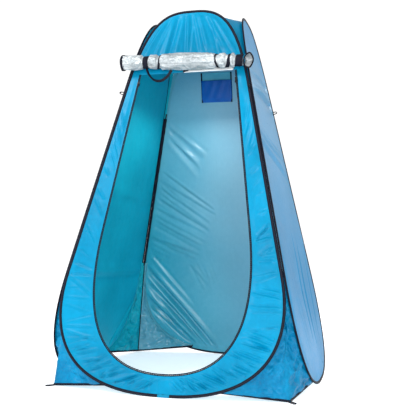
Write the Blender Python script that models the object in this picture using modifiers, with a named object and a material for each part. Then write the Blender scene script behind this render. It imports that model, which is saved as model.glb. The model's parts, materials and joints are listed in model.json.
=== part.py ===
"""Pop-up privacy shower tent, standing at rest. Metres, +Z up, doorway towards -Y, origin on the ground.

Four walls lean in. Each is a sheet on its own spring-steel hoop, which runs in a sleeve round the
sheet's edge. Neighbouring hoops are stitched together along straight corner edges. Those edges are
the hinges of the flat fold, and each hinge axis lies just inside the two walls it joins.
"""

import math

import bmesh
import bpy
from mathutils import Matrix, Vector
from mathutils.geometry import interpolate_bezier

# The standing tent
BASE_HALF = 0.652  # from the centre to a wall's plane at the ground
LEAN = 0.217  # how far a wall leans in for each metre of height
WIRE_TOP = 1.895  # height of a hoop's wire at its top
WIRE_BOTTOM = 0.0053  # and at its bottom, where the sleeve rests on the ground
JOIN_LOW = 0.542  # neighbouring hoops are joined from this height
JOIN_HIGH = 1.48  # up to this one
FLAT_BOTTOM = 0.025  # half the straight stretch in the ferrule
BOTTOM_HANDLE = 0.433  # how flat the hoop's bottom is
LOW_HANDLE = 0.331  # how long the hoop keeps its slant below the join
HIGH_HANDLE = 0.41  # and above the join
TOP_HANDLE = 0.119  # how flat the hoop's top is
GUSSET_CORNER = 0.566  # the gussets' ground corner, from the centre along X and along Y
GUSSET_TOE = 0.22  # a gusset's hem meets the hoop this far from the hoop's middle
GUSSET_TOP = 0.47  # height of a gusset's upper tip
ROOF_LOW = 1.57  # the roof's corners start at this height
CREASE_GAP = 0.0015  # from a gusset's crease to each of its halves

# Sheets, wire and sleeve
CLOTH = 0.001
WIRE_RADIUS = 0.0017
SLEEVE_NOSE = 0.005  # from the wire's centre out to the sleeve's fold
SLEEVE_LIP = 0.008  # from the wire's centre in to the sleeve's stitched lips
SLEEVE_HALF = 0.0042  # half the sleeve's thickness
SLOT_HALF = 0.0032  # half the channel inside it
SLOT_DEEP = 0.0034  # the channel's end, beyond the wire's centre
NOSE_FLAT = 0.0018  # half the flat of the fold
NOSE_BEVEL = 0.002
PANEL_EDGE = 0.0029  # the sheet's edge, inside the wire's centre
HINGE_OUT = 0.0046  # a corner axis lies this far inside the walls' planes
HINGE_BACK = 0.0056  # and a wall's wire this far back from it
SEAM_RADIUS = 0.001
FERRULE_BORE = 0.002
FERRULE_RADIUS = 0.0028
FERRULE_LENGTH = 0.04
WIRE_END_GAP = 0.001  # between the wire's ends, inside the ferrule
GAP = 0.0003  # between pieces that touch

# Webbing loops with a slot: length, width, slot length, slot width and thickness
GUY_LOOP = (0.02, 0.014, 0.009, 0.006, 0.002)
GUY_HEIGHT = 1.46
PEG_LOOP = (0.04, 0.022, 0.014, 0.01, 0.0015)
PEG_SETBACK = 0.003  # a peg loop starts this far beyond the gusset's corner, along X and Y
LOOP_SHOULDER = (0.15, 0.35)  # where a loop's end is cut, as shares of its width from the end and the middle

# Doorway in the front wall: half widths and heights
DOOR_TOP = 1.556
DOOR_TOP_HALF = 0.2525
DOOR_STRAIGHT = 0.75  # the sides are straight down to here
DOOR_FLARE = 0.141  # how much each side widens for each metre down
DOOR_BOTTOM = 0.095
DOOR_SIDE_HANDLE = 0.42
DOOR_BOTTOM_HANDLE = 0.32
ZIP_RADIUS = 0.003

# Rolled door: stations along the roll from its middle, with the roll's radius at each
ROLL_HEIGHT = 1.60
ROLL_OUT = 0.0465  # its axis from the wall's plane
ROLL_TILT = math.radians(-2.2)
ROLL_SEAM = (0.034, -0.0415)  # the seam it hangs from, up and out from its axis
ROLL_PROFILE = (
    (-0.335, 0.035), (-0.28, 0.037), (-0.235, 0.035), (-0.222, 0.030), (-0.19, 0.030), (-0.18, 0.035),
    (-0.145, 0.035), (-0.142, 0.033), (-0.128, 0.033), (-0.124, 0.036), (-0.04, 0.041), (0.06, 0.041),
    (0.155, 0.035), (0.161, 0.032), (0.175, 0.032), (0.18, 0.035), (0.208, 0.034), (0.213, 0.031),
    (0.235, 0.031), (0.24, 0.034), (0.252, 0.033), (0.257, 0.028), (0.3, 0.028),
)
TIE_BANDS = (  # name, middle, width, radius of the roll under it
    ("tie_band_left_broad", -0.206, 0.028, 0.030),
    ("tie_band_left_narrow", -0.135, 0.011, 0.033),
    ("tie_band_right_narrow", 0.168, 0.011, 0.032),
    ("tie_band_right_medium", 0.224, 0.019, 0.031),
    ("tie_band_right_broad", 0.278, 0.038, 0.028),
)
BAND_THICKNESS = 0.0016
BINDING_WIDTH = 0.01
BINDING_PROUD = 0.002  # the binding's edge, past the roll's end
BINDING_SLACK = 0.0006
ROLL_FLARE = ((0.3015, 0.026), (0.322, 0.0335), (0.345, 0.037))  # the flap at the right end, its outer face
FLARE_THICKNESS = 0.0025
STRAP_THICKNESS = 0.0016
STRAP_WIDTH = 0.014
STRAP_SWING = (-0.134, -0.041)  # its swing axis, along and up from the roll's middle
STRAP_LOOP = (  # two curves, along and up from the swing axis
    ((-0.066, 0.003), (-0.051, -0.034), (-0.021, -0.064), (0.004, -0.058)),
    ((0.004, -0.058), (0.029, -0.052), (0.049, -0.029), (0.066, -0.006)),
)
LIP_ENDS = (-0.015, 0.24)  # the header lip, across
LIP_HEIGHTS = (1.56, 1.585)
ROUND_STEPS = 20
FERRULE_STEPS = 12

# Zip sliders, parked near the top of the doorway
SLIDER_HEIGHT = 1.505
SLIDER_LENGTH = 0.018
SLIDER_WALL = 0.0018
SLIDER_LIP = 0.006  # its plates reach this far past the zip's middle
BAIL_RADIUS = 0.0007
BAIL_HALF = 0.005
BAIL_CORNER = 0.001
BAIL_OUT = 0.0115  # the bail's bar, from the zip's middle
PULL_OUT = 0.009  # the pull's crossbar, under the bail's bar
PULL_THICKNESS = 0.0012
PULL_TAB = ((0, -0.022), (0.003, -0.022), (0.0042, -0.0195), (0.0042, 0.0007), (0, 0.0007))
PULL_EYE = ((0, -0.0085), (0.002, -0.0085), (0.002, -0.0009), (0, -0.0009))

# Pocket on the inside of the back wall
POCKET_HALF = 0.09
POCKET_LOW = 1.54
POCKET_BAND = 1.665  # the navy cloth ends here, and the side tapes go on
POCKET_HIGH = 1.71
POCKET_DEPTH = 0.012
POCKET_TAPE = 0.004  # half the width of its side tapes

SIDES = {"front": 0, "right": 1, "back": 2, "left": 3}
SLANT = math.hypot(1, LEAN)  # wall length for each metre of height
EDGE_SLANT = LEAN / SLANT  # how far a wall's edge runs in for each metre of wall length

BLUE = ((0.02, 0.42, 0.80), 0.45, 0.0)
BLACK = ((0.012, 0.014, 0.03), 0.7, 0.0)
NAVY = ((0.02, 0.06, 0.25), 0.6, 0.0)
SILVER = ((0.72, 0.73, 0.72), 0.35, 0.4)
STEEL = ((0.55, 0.56, 0.58), 0.3, 1.0)


def clear_scene():
    for obj in list(bpy.data.objects):
        bpy.data.objects.remove(obj, do_unlink=True)


def collection(name):
    made = bpy.data.collections.new(name)
    bpy.context.scene.collection.children.link(made)
    return made


def material(name, look):
    colour, roughness, metallic = look
    made = bpy.data.materials.new(name)
    made.use_nodes = True
    shader = made.node_tree.nodes["Principled BSDF"]
    shader.inputs["Base Color"].default_value = (*colour, 1)
    shader.inputs["Roughness"].default_value = roughness
    shader.inputs["Metallic"].default_value = metallic
    return made


def add(name, data, matrix, look, parent):
    """An object for the given mesh or curve, with its own material."""
    data.materials.append(material(name, look))
    obj = bpy.data.objects.new(name, data)
    tent.objects.link(obj)
    attach(obj, matrix, parent)
    return obj


def attach(obj, matrix, parent):
    obj.matrix_world = matrix
    if parent is not None:
        obj.parent = parent
        obj.matrix_parent_inverse = parent.matrix_world.inverted()


def empty(name, matrix, parent=None):
    """A parent for a moving group, on its joint's axis."""
    obj = bpy.data.objects.new(name, None)
    obj.empty_display_size = 0.05
    tent.objects.link(obj)
    attach(obj, matrix, parent)
    bpy.context.view_layer.update()
    return obj


def poly_curve(name, paths, cyclic):
    curve = bpy.data.curves.new(name, "CURVE")
    for path in paths:
        spline = curve.splines.new("POLY")
        spline.points.add(len(path) - 1)
        for point, place in zip(spline.points, path):
            point.co = (*Vector(place).to_3d(), 1)
        spline.use_cyclic_u = cyclic
    return curve


def flat_piece(name, outlines, thickness, matrix, look, parent):
    """A flat sheet: outlines in the matrix's X and Y, thickness along its Z."""
    curve = poly_curve(name, outlines, True)
    curve.dimensions = "2D"
    curve.fill_mode = "BOTH"
    curve.extrude = thickness / 2
    return add(name, curve, matrix, look, parent)


def tube(name, path, radius, matrix, look, parent):
    """A wire or tube of one radius along a path, with closed ends."""
    curve = poly_curve(name, [path], False)
    curve.dimensions = "3D"
    curve.bevel_depth = radius
    curve.bevel_resolution = 1
    curve.use_fill_caps = True
    return add(name, curve, matrix, look, parent)


def turned(name, profile, closed, matrix, look, parent, steps=ROUND_STEPS):
    """A profile of (along, radius) points turned round the matrix's X axis."""
    mesh = bpy.data.meshes.new(name)
    edges = [(i, i + 1) for i in range(len(profile) - 1)]
    if closed:
        edges.append((len(profile) - 1, 0))
    mesh.from_pydata([(along, radius, 0) for along, radius in profile], edges, [])
    obj = add(name, mesh, matrix, look, parent)
    screw = obj.modifiers.new("Turn", "SCREW")
    screw.axis = "X"
    screw.steps = steps
    screw.render_steps = steps
    screw.use_merge_vertices = True
    screw.merge_threshold = 0.00001
    screw.use_normal_flip = True
    return obj


def sheet_mesh(name, rows, matrix, look, parent):
    """A thin sheet through rows of points, thickened both ways."""
    mesh = bpy.data.meshes.new(name)
    shape = bmesh.new()
    grid = [[shape.verts.new(point) for point in row] for row in rows]
    for upper, lower in zip(grid, grid[1:]):
        for i in range(len(upper) - 1):
            shape.faces.new((upper[i], upper[i + 1], lower[i + 1], lower[i]))
    bmesh.ops.triangulate(shape, faces=shape.faces)
    shape.to_mesh(mesh)
    shape.free()
    obj = add(name, mesh, matrix, look, parent)
    thicken(obj)


def thicken(obj):
    solidify = obj.modifiers.new("Cloth", "SOLIDIFY")
    solidify.thickness = CLOTH
    solidify.offset = 0


def bezier(start, start_handle, end_handle, end, segments):
    return [tuple(p)[:2] for p in interpolate_bezier(
        Vector(start), Vector(start_handle), Vector(end_handle), Vector(end), segments + 1)]


def wall_frame(side):
    """X across the wall as seen from outside, Y up along it, Z out of it, origin at its foot."""
    across = Vector((1, 0, 0))
    up = Vector((0, LEAN, 1)).normalized()
    axes = Matrix((across, up, across.cross(up))).transposed().to_4x4()
    turn = Matrix.Rotation(SIDES[side] * math.pi / 2, 4, "Z")
    return turn @ Matrix.Translation((0, -BASE_HALF, 0)) @ axes


def edge_at(height):
    """The straight wire's distance from the wall's middle, at this height."""
    along = height * SLANT
    axis = BASE_HALF - HINGE_OUT * SLANT - EDGE_SLANT * (along - LEAN * HINGE_OUT)
    return axis - HINGE_BACK * math.hypot(1, EDGE_SLANT)


def hoop_half():
    """The right half of a hoop's wire, from bottom to top, in the wall's X and Y."""
    low, high = edge_at(JOIN_LOW), edge_at(JOIN_HIGH)
    bottom = [(0, WIRE_BOTTOM)] + bezier(
        (FLAT_BOTTOM, WIRE_BOTTOM), (BOTTOM_HANDLE, WIRE_BOTTOM),
        (low + LEAN * LOW_HANDLE, JOIN_LOW - LOW_HANDLE), (low, JOIN_LOW), 11)
    top = bezier(
        (high, JOIN_HIGH), (high - LEAN * HIGH_HANDLE, JOIN_HIGH + HIGH_HANDLE),
        (TOP_HANDLE, WIRE_TOP), (0, WIRE_TOP), 9)
    return [(across, height * SLANT) for across, height in bottom + top]


def mirrored(half):
    """A closed outline from its right half, whose first and last points are on the middle line."""
    return [*half, *[(-x, y) for x, y in half[-2:0:-1]]]


def grown(outline, distance):
    """A closed outline, anticlockwise, moved outwards by the distance."""
    moved = []
    for before, here, after in zip(outline[-1:] + outline[:-1], outline, outline[1:] + outline[:1]):
        run = Vector(after) - Vector(before)
        out = Vector((run.y, -run.x)).normalized()
        moved.append(tuple(Vector(here) + out * distance))
    return moved


def door_outline():
    """The doorway, from its top left corner down, round and up to its top right corner."""
    low = DOOR_TOP_HALF + DOOR_FLARE * (DOOR_TOP - DOOR_STRAIGHT)
    curve = bezier(
        (0, DOOR_BOTTOM), (DOOR_BOTTOM_HANDLE, DOOR_BOTTOM),
        (low + DOOR_FLARE * DOOR_SIDE_HANDLE, DOOR_STRAIGHT - DOOR_SIDE_HANDLE), (low, DOOR_STRAIGHT), 14)
    right = [(across, height * SLANT) for across, height in curve + [(DOOR_TOP_HALF, DOOR_TOP)]]
    return [(-x, y) for x, y in right[:0:-1]] + right


def sleeve_profile():
    """The sleeve's section, a channel that opens towards the sheet."""
    channel = [
        (-SLEEVE_LIP, -SLOT_HALF), (SLOT_DEEP, -SLOT_HALF), (SLOT_DEEP, SLOT_HALF), (-SLEEVE_LIP, SLOT_HALF),
        (-SLEEVE_LIP, SLEEVE_HALF), (SLEEVE_NOSE - NOSE_BEVEL, SLEEVE_HALF), (SLEEVE_NOSE, NOSE_FLAT),
        (SLEEVE_NOSE, -NOSE_FLAT), (SLEEVE_NOSE - NOSE_BEVEL, -SLEEVE_HALF), (-SLEEVE_LIP, -SLEEVE_HALF),
    ]
    curve = poly_curve("sleeve_profile", [channel], True)
    curve.dimensions = "2D"
    curve.fill_mode = "NONE"
    obj = bpy.data.objects.new("sleeve_profile", curve)
    obj.hide_render = True
    obj.display_type = "WIRE"
    guides.objects.link(obj)
    return obj


def hoop(side, frame, parent):
    """The sleeve, the wire in it and the ferrule that joins the wire's ends."""
    outline = mirrored(hoop_half())
    curve = poly_curve(side + "_sleeve", [outline], True)
    curve.dimensions = "3D"
    curve.twist_mode = "Z_UP"
    curve.bevel_mode = "OBJECT"
    curve.bevel_object = section
    add(side + "_sleeve", curve, frame, BLACK, parent)
    start = WIRE_END_GAP / 2
    ends = [(start, outline[0][1])] + outline[1:] + [(-start, outline[0][1])]
    tube(side + "_hoop_wire", ends, WIRE_RADIUS, frame, STEEL, parent)
    reach = FERRULE_LENGTH / 2
    ring = [(-reach, FERRULE_RADIUS), (reach, FERRULE_RADIUS), (reach, FERRULE_BORE), (-reach, FERRULE_BORE)]
    place = frame @ Matrix.Translation((0, outline[0][1], 0))
    turned(side + "_hoop_ferrule", ring, True, place, STEEL, parent, FERRULE_STEPS)


def wall(side, frame, parent):
    outlines = [grown(mirrored(hoop_half()), -PANEL_EDGE)]
    if side == "front":
        outlines.append(door_outline())
    flat_piece(side + "_wall", outlines, CLOTH, frame, BLUE, parent)


def gusset(side, hand, frame, parent):
    """Half of a corner gusset: from the hoop's low curve to the crease at the corner. hand is 1 or -1."""
    outline = grown(mirrored(hoop_half()), SLEEVE_NOSE + CLOTH)
    edge = [p for p in outline if p[0] >= GUSSET_TOE and p[1] <= GUSSET_TOP * SLANT]
    high = frame @ Vector((hand * edge[-1][0], edge[-1][1], 0))
    corner = frame.to_3x3() @ Vector((hand, 0, 0)) * GUSSET_CORNER
    outward = frame.to_3x3() @ Vector((0, 0, 1))
    outward.z = 0
    corner += outward.normalized() * GUSSET_CORNER
    corner.z = CLOTH
    diagonal = Vector((math.copysign(1, corner.x), math.copysign(1, corner.y), 0)).normalized()
    aside = frame.to_3x3() @ Vector((-hand, 0, 0))
    aside = (aside - diagonal * aside.dot(diagonal)).normalized()
    tip = diagonal * high.dot(diagonal)
    tip.z = high.z
    rows = []
    for i, (x, y) in enumerate(reversed(edge)):
        share = i / (len(edge) - 1)
        hem = frame @ Vector((hand * x, y, 0))
        hem.z = max(hem.z, CLOTH)
        fold = tip.lerp(corner, share) + aside * CREASE_GAP
        if share == 0:
            fold = hem.lerp(fold, 0.6)
        rows.append([hem, hem.lerp(fold, 0.5), fold])
    name = f"{side}_gusset_{'right' if hand == 1 else 'left'}"
    sheet_mesh(name, rows, Matrix.Identity(4), BLUE, parent)


def roof_gore(side, parent):
    """A quarter of the roof: level lines from the hoop's top arc to the diagonals, then to the middle."""
    frame = wall_frame("front")
    turn = Matrix.Rotation(SIDES[side] * math.pi / 2, 4, "Z")
    inner_face = -SLEEVE_HALF - CLOTH
    arc = [frame @ Vector((x, y, inner_face)) for x, y in hoop_half() if y > ROOF_LOW * SLANT]
    rows = []
    for point in arc:
        middle = (point.x - point.y) / 2
        diagonal = Vector((middle, -middle, point.z))
        diagonal += (point - diagonal).normalized() * CLOTH
        rows.append([diagonal, point.lerp(diagonal, 0.5), point])
    left = [[Vector((-p.x, p.y, p.z)) for p in row] for row in rows]
    centre = Vector((0, -2 * CLOTH, arc[-1].z))
    mesh = bpy.data.meshes.new(side)
    shape = bmesh.new()
    for half, hand in ((rows, 1), (left, -1)):
        for lower, upper in zip(half, half[1:]):
            for i in range(2):
                corners = [lower[i], lower[i + 1], upper[i + 1], upper[i]]
                shape.faces.new([shape.verts.new(p) for p in corners[::hand]])
        peak = [half[-1][2], centre, half[-1][0], half[-1][1]]
        shape.faces.new([shape.verts.new(p) for p in peak[::hand]])
    bmesh.ops.remove_doubles(shape, verts=shape.verts, dist=0.0001)
    bmesh.ops.triangulate(shape, faces=shape.faces)
    shape.to_mesh(mesh)
    shape.free()
    thicken(add(side + "_roof_gore", mesh, turn, BLUE, parent))


def corner_axis(across, back):
    """The hinge axis of one corner, given by the signs of its X and Y: its Z runs up the axis."""
    foot = BASE_HALF - HINGE_OUT * SLANT
    up = Vector((-across * LEAN, -back * LEAN, 1)).normalized()
    side = Vector((-back, across, 0)).normalized()
    axes = Matrix((side, up.cross(side), up)).transposed().to_4x4()
    return Matrix.Translation((across * foot, back * foot, 0)) @ axes


def corner_seam(name, across, back, parent):
    """The stitched seam between two sleeves, on the hinge axis."""
    up = math.hypot(1, LEAN * math.sqrt(2))
    path = [(0, 0, JOIN_LOW * up), (0, 0, (JOIN_LOW + JOIN_HIGH) / 2 * up), (0, 0, JOIN_HIGH * up)]
    tube(name, path, SEAM_RADIUS, corner_axis(across, back), BLACK, parent)


def loop_tab(name, sizes, matrix, parent):
    """A flat webbing loop that starts at the matrix's origin and runs along its X, with a slot in it."""
    length, width, slot_length, slot_width, thickness = sizes
    half = width / 2
    shoulder = length - LOOP_SHOULDER[0] * width, LOOP_SHOULDER[1] * width
    upper = [(0, half), (length - half, half), shoulder]
    outer = [(x, -y) for x, y in upper] + [(length, 0)] + upper[::-1]
    end = length - (width - slot_width) / 2
    start = end - slot_length
    side = slot_width / 2
    slot = [(start, -side), (start, side), (end, side), (end, -side)]
    flat_piece(name, [outer, slot], thickness, matrix, BLACK, parent)


def guy_loop(side, frame, parent):
    """A loop that stands out of the right edge of a wall's sleeve, for a guy line."""
    place = frame @ Matrix.Translation((edge_at(GUY_HEIGHT), GUY_HEIGHT * SLANT, SLEEVE_HALF + GAP))
    turn = Matrix(((0, 0, -1), (0, 1, 0), (1, 0, 0))).to_4x4()
    loop_tab(side + "_guy_loop", GUY_LOOP, place @ turn, parent)


def peg_loop(name, across, back, parent):
    """A flat loop on the ground at a gusset's corner."""
    start = GUSSET_CORNER + PEG_SETBACK
    place = Matrix.Translation((across * start, back * start, PEG_LOOP[-1] / 2))
    turn = Matrix.Rotation(math.atan2(back, across), 4, "Z")
    loop_tab(name, PEG_LOOP, place @ turn, parent)


def door_zip(frame, parent):
    """The zip edge round the doorway, a cord just inside the sheet's edge."""
    tube("door_zip_edge", beside(door_outline(), ZIP_RADIUS + GAP), ZIP_RADIUS, frame, BLACK, parent)


def slider_frame(frame, hand):
    """On the zip edge where a slider is parked: X out of the doorway, Y up along the zip, Z outwards."""
    rim = DOOR_TOP_HALF + DOOR_FLARE * (DOOR_TOP - SLIDER_HEIGHT)
    across = rim - (ZIP_RADIUS + GAP) * math.hypot(1, DOOR_FLARE)
    slant = math.atan(DOOR_FLARE / SLANT)
    place = Matrix.Translation((hand * across, SLIDER_HEIGHT * SLANT, 0))
    return frame @ place @ Matrix.Rotation(hand * slant, 4, "Z")


def zip_slider(side_name, hand, frame, parent):
    """The slider that runs on the zip edge, its bail and the pull that hangs from the bail."""
    here = slider_frame(frame, hand)
    group = empty(f"zip_slider_{side_name}_axis", here, parent)
    inner = ZIP_RADIUS + GAP
    outer = inner + SLIDER_WALL
    channel = [(-outer, -outer), (SLIDER_LIP, -outer), (SLIDER_LIP, -inner), (-inner, -inner),
               (-inner, inner), (SLIDER_LIP, inner), (SLIDER_LIP, outer), (-outer, outer)]
    channel = [(hand * across, out) for across, out in channel]
    along_zip = Matrix(((1, 0, 0), (0, 0, -1), (0, 1, 0))).to_4x4()
    flat_piece(f"zip_slider_{side_name}", [channel], SLIDER_LENGTH, here @ along_zip, STEEL, group)
    foot = outer + GAP
    shoulder = BAIL_OUT - BAIL_CORNER
    top = BAIL_HALF - BAIL_CORNER
    bail = [(0, -BAIL_HALF, foot), (0, -BAIL_HALF, shoulder), (0, -top, BAIL_OUT), (0, top, BAIL_OUT),
            (0, BAIL_HALF, shoulder), (0, BAIL_HALF, foot)]
    tube(f"zip_bail_{side_name}", bail, BAIL_RADIUS, here, STEEL, group)
    across = frame.to_3x3() @ Vector((1, 0, 0))
    upright = Matrix((across, Vector((0, 0, 1)), across.cross(Vector((0, 0, 1))))).transposed().to_4x4()
    hinge = Matrix.Translation(here @ Vector((0, 0, PULL_OUT))) @ upright
    pull_axis = empty(f"zip_pull_{side_name}_axis", hinge, group)
    outlines = [mirrored(PULL_TAB), mirrored(PULL_EYE)]
    flat_piece(f"zip_pull_{side_name}", outlines, PULL_THICKNESS, hinge, STEEL, pull_axis)


def rolled_door(frame, parent):
    """The rolled-up door with its bound left end, its flared right end, its ties and the webbing loop."""
    along = ROLL_HEIGHT * SLANT - LEAN * ROLL_OUT
    middle = frame @ Matrix.Translation((0, along, ROLL_OUT)) @ Matrix.Rotation(ROLL_TILT, 4, "Z")
    hinge = middle @ Matrix.Translation((0, *ROLL_SEAM))
    group = empty("door_roll_axis", hinge, parent)
    ends = ROLL_PROFILE[0][0], ROLL_PROFILE[-1][0]
    turned("door_roll", [(ends[0], 0), *ROLL_PROFILE, (ends[1], 0)], False, middle, SILVER, group)
    for name, place, width, radius in TIE_BANDS:
        turned(name, ring(place - width / 2, place + width / 2, radius), True, middle, BLACK, group)
    start = ends[0] - BINDING_PROUD
    bound = ring(start, start + BINDING_WIDTH, ROLL_PROFILE[0][1] + BINDING_SLACK)
    turned("roll_end_binding", bound, True, middle, BLACK, group)
    flare = [*ROLL_FLARE, *[(along, radius - FLARE_THICKNESS) for along, radius in ROLL_FLARE[::-1]]]
    turned("roll_end_flap", flare, True, middle, SILVER, group)
    hanging_strap(middle, group)
    header_lip(frame, parent)


def hanging_strap(middle, parent):
    """The webbing loop under the roll. It hangs straight down, so it is turned back by the wall's lean."""
    upright = Matrix.Translation((*STRAP_SWING, 0)) @ Matrix.Rotation(math.atan(LEAN), 4, "X")
    axis = empty("hanging_strap_axis", middle @ upright, parent)
    first, second = [bezier(*curve, 7) for curve in STRAP_LOOP]
    outline = strip(first + second[1:], STRAP_THICKNESS)
    flat_piece("hanging_strap", [outline], STRAP_WIDTH, middle @ upright, BLACK, axis)


def header_lip(frame, parent):
    """The pale strip of cloth along the doorway's top, outside the wall."""
    low, high = [height * SLANT for height in LIP_HEIGHTS]
    outline = [(LIP_ENDS[0], low), (LIP_ENDS[1], low), (LIP_ENDS[1], high), (LIP_ENDS[0], high)]
    place = frame @ Matrix.Translation((0, 0, CLOTH + GAP))
    flat_piece("door_header_lip", [outline], CLOTH, place, SILVER, parent)


def ring(start, end, inner):
    outer = inner + GAP + BAND_THICKNESS
    return [(start, outer), (end, outer), (end, inner + GAP), (start, inner + GAP)]


def beside(path, distance):
    """An open path moved to its left by the distance."""
    moved = []
    for i, here in enumerate(path):
        run = Vector(path[min(i + 1, len(path) - 1)]) - Vector(path[max(i - 1, 0)])
        moved.append(tuple(Vector(here) + Vector((-run.y, run.x)).normalized() * distance))
    return moved


def strip(path, thickness):
    """The closed outline of a strip along an open path."""
    return beside(path, -thickness / 2) + beside(path, thickness / 2)[::-1]


def pocket(frame, parent):
    """The open-topped pocket on the inside of the back wall: two side tapes and the cloth between them."""
    inner = -CLOTH / 2 - GAP
    for name, across in (("left", -POCKET_HALF), ("right", POCKET_HALF)):
        low, high = POCKET_LOW * SLANT, POCKET_HIGH * SLANT
        start, end = across - POCKET_TAPE, across + POCKET_TAPE
        outline = [(start, low), (end, low), (end, high), (start, high)]
        place = frame @ Matrix.Translation((0, 0, inner - POCKET_DEPTH / 2))
        flat_piece(f"pocket_side_{name}", [outline], POCKET_DEPTH, place, BLACK, parent)
    bend = inner - POCKET_DEPTH - GAP - CLOTH
    low = POCKET_LOW * SLANT - GAP
    high = POCKET_BAND * SLANT
    folded = [(low, bend), (high, bend), (high, bend + CLOTH), (low, bend + CLOTH), (low, inner),
              (low - CLOTH, inner), (low - CLOTH, bend)]
    turn = Matrix(((0, 0, 1), (1, 0, 0), (0, 1, 0))).to_4x4()
    width = 2 * (POCKET_HALF + POCKET_TAPE)
    flat_piece("storage_pocket", [folded], width, frame @ turn, NAVY, parent)


def build_side(side, parent):
    frame = wall_frame(side)
    hoop(side, frame, parent)
    wall(side, frame, parent)
    for hand in (1, -1):
        gusset(side, hand, frame, parent)
    roof_gore(side, parent)
    guy_loop(side, frame, parent)


def main():
    left_axis = empty("left_wall_axis", corner_axis(-1, -1))
    right_axis = empty("right_wall_axis", corner_axis(1, -1))
    back_axis = empty("back_wall_axis", corner_axis(-1, 1), left_axis)
    parents = {"front": None, "right": right_axis, "back": back_axis, "left": left_axis}
    for side, parent in parents.items():
        build_side(side, parent)
    for name, across, back, parent in (("front_left", -1, -1, None), ("front_right", 1, -1, None),
                                       ("back_left", -1, 1, left_axis), ("back_right", 1, 1, right_axis)):
        corner_seam(f"corner_seam_{name}", across, back, parent)
        peg_loop(f"peg_loop_{name}", across, back, parent)
    door_zip(wall_frame("front"), None)
    zip_slider("left", -1, wall_frame("front"), None)
    zip_slider("right", 1, wall_frame("front"), None)
    rolled_door(wall_frame("front"), None)
    pocket(wall_frame("back"), back_axis)


clear_scene()
tent = collection("privacy_shower_tent")
guides = collection("guides")
section = sleeve_profile()
main()
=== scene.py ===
"""Looks of the pop-up privacy shower tent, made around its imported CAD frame.

Metres, +Z up, doorway towards -Y.
Each wall has a frame of its own: u runs across the wall as seen from outside, v up along it, w out of it.
Sheets are grids in u and v with folds raised along w, then given the cloth's thickness, so that the
outer face and the inner face can have their own materials. UVs are lengths in metres along the cloth.
"""

import json
import math

import bmesh
import bpy
import numpy as np
from mathutils import Matrix, Vector, noise


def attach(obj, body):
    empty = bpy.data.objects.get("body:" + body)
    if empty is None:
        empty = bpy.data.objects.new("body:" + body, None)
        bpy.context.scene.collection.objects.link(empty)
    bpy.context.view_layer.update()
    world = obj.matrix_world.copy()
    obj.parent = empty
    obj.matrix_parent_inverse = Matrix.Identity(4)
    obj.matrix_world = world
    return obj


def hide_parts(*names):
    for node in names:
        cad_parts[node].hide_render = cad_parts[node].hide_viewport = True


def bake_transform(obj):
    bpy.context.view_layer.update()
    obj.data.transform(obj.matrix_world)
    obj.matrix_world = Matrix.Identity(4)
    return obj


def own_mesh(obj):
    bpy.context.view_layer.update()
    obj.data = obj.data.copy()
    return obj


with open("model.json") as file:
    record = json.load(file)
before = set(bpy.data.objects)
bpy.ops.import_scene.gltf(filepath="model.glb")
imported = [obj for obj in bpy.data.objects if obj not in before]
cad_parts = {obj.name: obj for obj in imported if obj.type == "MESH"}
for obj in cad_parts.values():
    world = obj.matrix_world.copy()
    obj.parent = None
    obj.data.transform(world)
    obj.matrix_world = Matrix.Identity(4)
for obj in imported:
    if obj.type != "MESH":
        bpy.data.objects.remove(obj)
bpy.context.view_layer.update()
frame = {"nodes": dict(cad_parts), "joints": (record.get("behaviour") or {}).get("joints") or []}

SIDES = {"front": 0, "right": 1, "back": 2, "left": 3}
JOINTS = {joint["name"]: joint for joint in frame["joints"]}
FOLD_AXIS = Vector(JOINTS["left_fold"]["axis"])
LEAN = FOLD_AXIS.x / FOLD_AXIS.z  # how far a wall leans in for each metre of height
SLANT = math.hypot(1, LEAN)

CLOTH = 0.0006
PANEL_EDGE = 0.0029  # from the hoop's wire in to the sheet's edge
SLEEVE_NOSE = 0.0052  # from the wire out to the sleeve's fold
SLEEVE_LIP = 0.0085  # and in to its stitched lips
BARE_EDGE = 0.006  # a sheet stays flat this near its held edge
HELD_EDGE = 0.05  # and its folds grow to their full height over this distance

RNG = np.random.default_rng(7)


# ---------------------------------------------------------------- materials


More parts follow.
